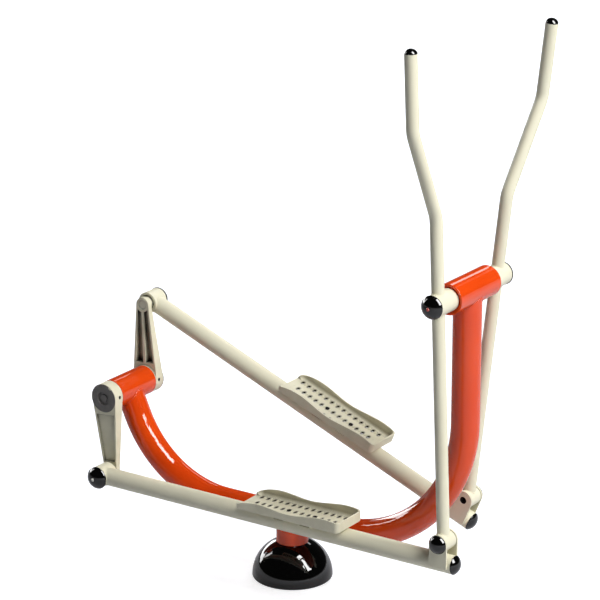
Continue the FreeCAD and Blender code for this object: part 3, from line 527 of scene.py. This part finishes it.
def post_bead():
    # The bead where the post's top hugs the main tube, straight along the two sides.
    bm = bmesh.new()
    bead_ring(bm, post_radius, main_bead)
    top = main_flat_z - main_radius + post_wrap
    side = math.sqrt(main_radius ** 2 - (main_flat_z - top) ** 2)
    for vert in bm.verts:
        turn = math.atan2(vert.co.y, vert.co.x)
        y = post_radius * math.sin(turn)
        held = max(-side, min(side, y))
        vert.co.y += held - y
        vert.co.z += main_flat_z - math.sqrt(main_radius ** 2 - held ** 2)
    place_ring(bm, Vector((0, 0, 0)), Vector((0, 0, 1)))
    new_piece("weld_post", bm, "frame", **red_weld)


def add_frame_welds():
    front = Vector((front_axle[0], 0, front_axle[1]))
    rear = Vector((rear_axle[0], 0, rear_axle[1]))
    rise = math.radians(rear_rise_angle)
    rear_down = Vector((math.cos(rise), 0, -math.sin(rise)))
    down = Vector((0, 0, -1))
    post_bead()
    welds = [("weld_front_housing", front, down), ("weld_rear_housing", rear, rear_down)]
    for name, centre, along in welds:
        saddle_bead(name, main_radius, housing_radius, centre, along, main_bead, "frame", red_weld)


def add_side_welds(side, prefix):
    pin_x, pin_z = crank_pin_place(side)
    end_x, end_z = clevis_place(side)
    y = side * side_offset
    pivot = Vector((front_axle[0], y, front_axle[1]))
    link = Vector((end_x, y, end_z))
    pin = Vector((pin_x, y, pin_z))
    up = handle_direction(side)
    handle = prefix + "handle"
    beam = prefix + "beam"
    welds = [
        ("weld_pivot_upper", handle_radius, sleeve_radius, pivot, up, handle),
        ("weld_pivot_lower", handle_radius, sleeve_radius, pivot, -up, handle),
        ("weld_link", handle_radius, link_sleeve_radius, link, up, handle),
        ("weld_crank_sleeve", beam_radius, sleeve_radius, pin, beam_direction(side), beam),
    ]
    for name, tube, cylinder, centre, along, body in welds:
        saddle_bead(prefix + name, tube, cylinder, centre, along, thin_bead, body, cream_weld)


# Stage


def ray_share(tree, in_view, in_gloss):
    # A strength for what the camera sees, another for what metal, plastic and glass show, else 0.
    path = add_node(tree, "ShaderNodeLightPath")
    inputs = {0: path.outputs["Is Glossy Ray"], 1: path.outputs["Is Transmission Ray"]}
    either = add_node(tree, "ShaderNodeMath", inputs, operation="MAXIMUM").outputs[0]
    gloss = add_node(tree, "ShaderNodeMath", {0: either, 1: in_gloss}, operation="MULTIPLY").outputs[0]
    inputs = {0: path.outputs["Is Camera Ray"], 1: in_view}
    view = add_node(tree, "ShaderNodeMath", inputs, operation="MULTIPLY").outputs[0]
    return add_node(tree, "ShaderNodeMath", {0: view, 1: gloss}, operation="MAXIMUM").outputs[0]


def stage_material():
    # White floor: it takes the soft shadows, and a glow that lights nothing keeps it white.
    material = bpy.data.materials.new("white_floor")
    material.use_nodes = True
    tree = material.node_tree
    shader = tree.nodes["Principled BSDF"]
    shader.inputs["Base Color"].default_value = linear(floor_grey)
    shader.inputs["Roughness"].default_value = floor_roughness
    shader.inputs["Emission Color"].default_value = linear(white)
    place = add_node(tree, "ShaderNodeTexCoord").outputs["Object"]
    axes = add_node(tree, "ShaderNodeSeparateXYZ", {0: place})
    in_gloss = add_node(tree, "ShaderNodeMapRange", {"Value": axes.outputs["X"], **floor_gloss_span})
    distance = add_node(tree, "ShaderNodeVectorMath", {0: place}, operation="LENGTH")
    in_view = add_node(tree, "ShaderNodeMapRange", {"Value": distance.outputs["Value"], **floor_view_span})
    glow = ray_share(tree, in_view.outputs[0], in_gloss.outputs[0])
    tree.links.new(glow, shader.inputs["Emission Strength"])
    return material


def add_floor():
    mesh = bpy.data.meshes.new("floor")
    bm = bmesh.new()
    bmesh.ops.create_circle(bm, cap_ends=True, segments=floor_sides, radius=floor_radius)
    bm.to_mesh(mesh)
    bm.free()
    floor = bpy.data.objects.new("floor", mesh)
    bpy.context.scene.collection.objects.link(floor)
    mesh.materials.append(stage_material())


def add_world():
    # A dark studio ceiling, and below it a white horizon that only the camera and the gloss see.
    world = bpy.data.worlds.new("studio")
    bpy.context.scene.world = world
    world.use_nodes = True
    tree = world.node_tree
    background = tree.nodes["Background"]
    direction = add_node(tree, "ShaderNodeTexCoord").outputs["Generated"]
    axes = add_node(tree, "ShaderNodeSeparateXYZ", {0: direction})
    in_view = add_node(tree, "ShaderNodeMapRange", {"Value": axes.outputs["Z"], **horizon_view_span})
    in_gloss = add_node(tree, "ShaderNodeMapRange", {"Value": axes.outputs["Z"], **horizon_gloss_span})
    seen = ray_share(tree, in_view.outputs[0], in_gloss.outputs[0])
    strength = add_node(tree, "ShaderNodeMath", {0: seen, 1: studio_dark}, operation="MAXIMUM")
    tree.links.new(strength.outputs[0], background.inputs["Strength"])
    background.inputs["Color"].default_value = linear(white)


def add_area(name, azimuth, elevation, width, height, distance, radiance):
    # A rectangular light: where it stands, seen from the object, and how large it looks from there.
    turn = math.radians(azimuth)
    tilt = math.radians(elevation)
    away = Vector((math.cos(turn) * math.cos(tilt), math.sin(turn) * math.cos(tilt), math.sin(tilt)))
    data = bpy.data.lights.new(name, "AREA")
    data.shape = "RECTANGLE"
    data.size = 2 * distance * math.tan(math.radians(width / 2))
    data.size_y = 2 * distance * math.tan(math.radians(height / 2))
    data.energy = radiance * math.pi * data.size * data.size_y
    light = bpy.data.objects.new(name, data)
    bpy.context.scene.collection.objects.link(light)
    light.location = Vector((0.0, 0.0, light_aim)) + away * distance
    light.rotation_euler = away.to_track_quat("Z", "Y").to_euler()
    light.visible_camera = False
    return light


def add_lamp(name, azimuth, elevation, width, height, radiance):
    # A soft lamp that lights the paint and the floor, and doesn't show in the gloss.
    add_area(name, azimuth, elevation, width, height, lamp_distance, radiance).visible_glossy = False


def add_window(name, azimuth, elevation, width, height, radiance):
    # A bright window that only shows in the gloss. It stands nearer than the lamps, which would
    # hide it.
    add_area(name, azimuth, elevation, width, height, window_distance, radiance).visible_diffuse = False


def add_lights():
    # Each has its azimuth, elevation, width and height in degrees, and its radiance.
    add_lamp("key_lamp", 356.0, 46.0, 25.0, 28.0, 16.0)
    add_lamp("back_lamp", 112.0, 29.0, 30.0, 30.0, 5.0)
    add_window("key_window", 354.0, 46.0, 24.0, 51.0, 24.0)
    add_window("left_window", 162.0, 11.5, 46.0, 15.0, 9.0)
    add_window("side_window", 187.0, 26.0, 8.0, 26.0, 9.0)
    add_window("back_window", 108.0, 30.0, 26.0, 6.0, 4.0)


def add_camera():
    turn = math.radians(camera_azimuth)
    tilt = math.radians(camera_elevation)
    toward = Vector((math.sin(turn) * math.cos(tilt), -math.cos(turn) * math.cos(tilt), math.sin(tilt)))
    right = Vector((math.cos(turn), math.sin(turn), 0.0))
    up = toward.cross(right)
    data = bpy.data.cameras.new("camera")
    data.sensor_width = sensor_width
    data.lens = camera_lens
    data.clip_end = camera_reach
    camera = bpy.data.objects.new("camera", data)
    bpy.context.scene.collection.objects.link(camera)
    place = right * camera_across + up * camera_up + toward * camera_distance
    axes = Matrix((right, up, toward)).transposed().to_4x4()
    camera.matrix_world = Matrix.Translation(place * MM) @ axes
    bpy.context.scene.camera = camera


dress_nodes()
add_frame_welds()
for side, prefix in sides:
    add_side_welds(side, prefix)
add_floor()
add_world()
add_lights()
add_camera()
bpy.context.scene.view_settings.view_transform = "Standard"
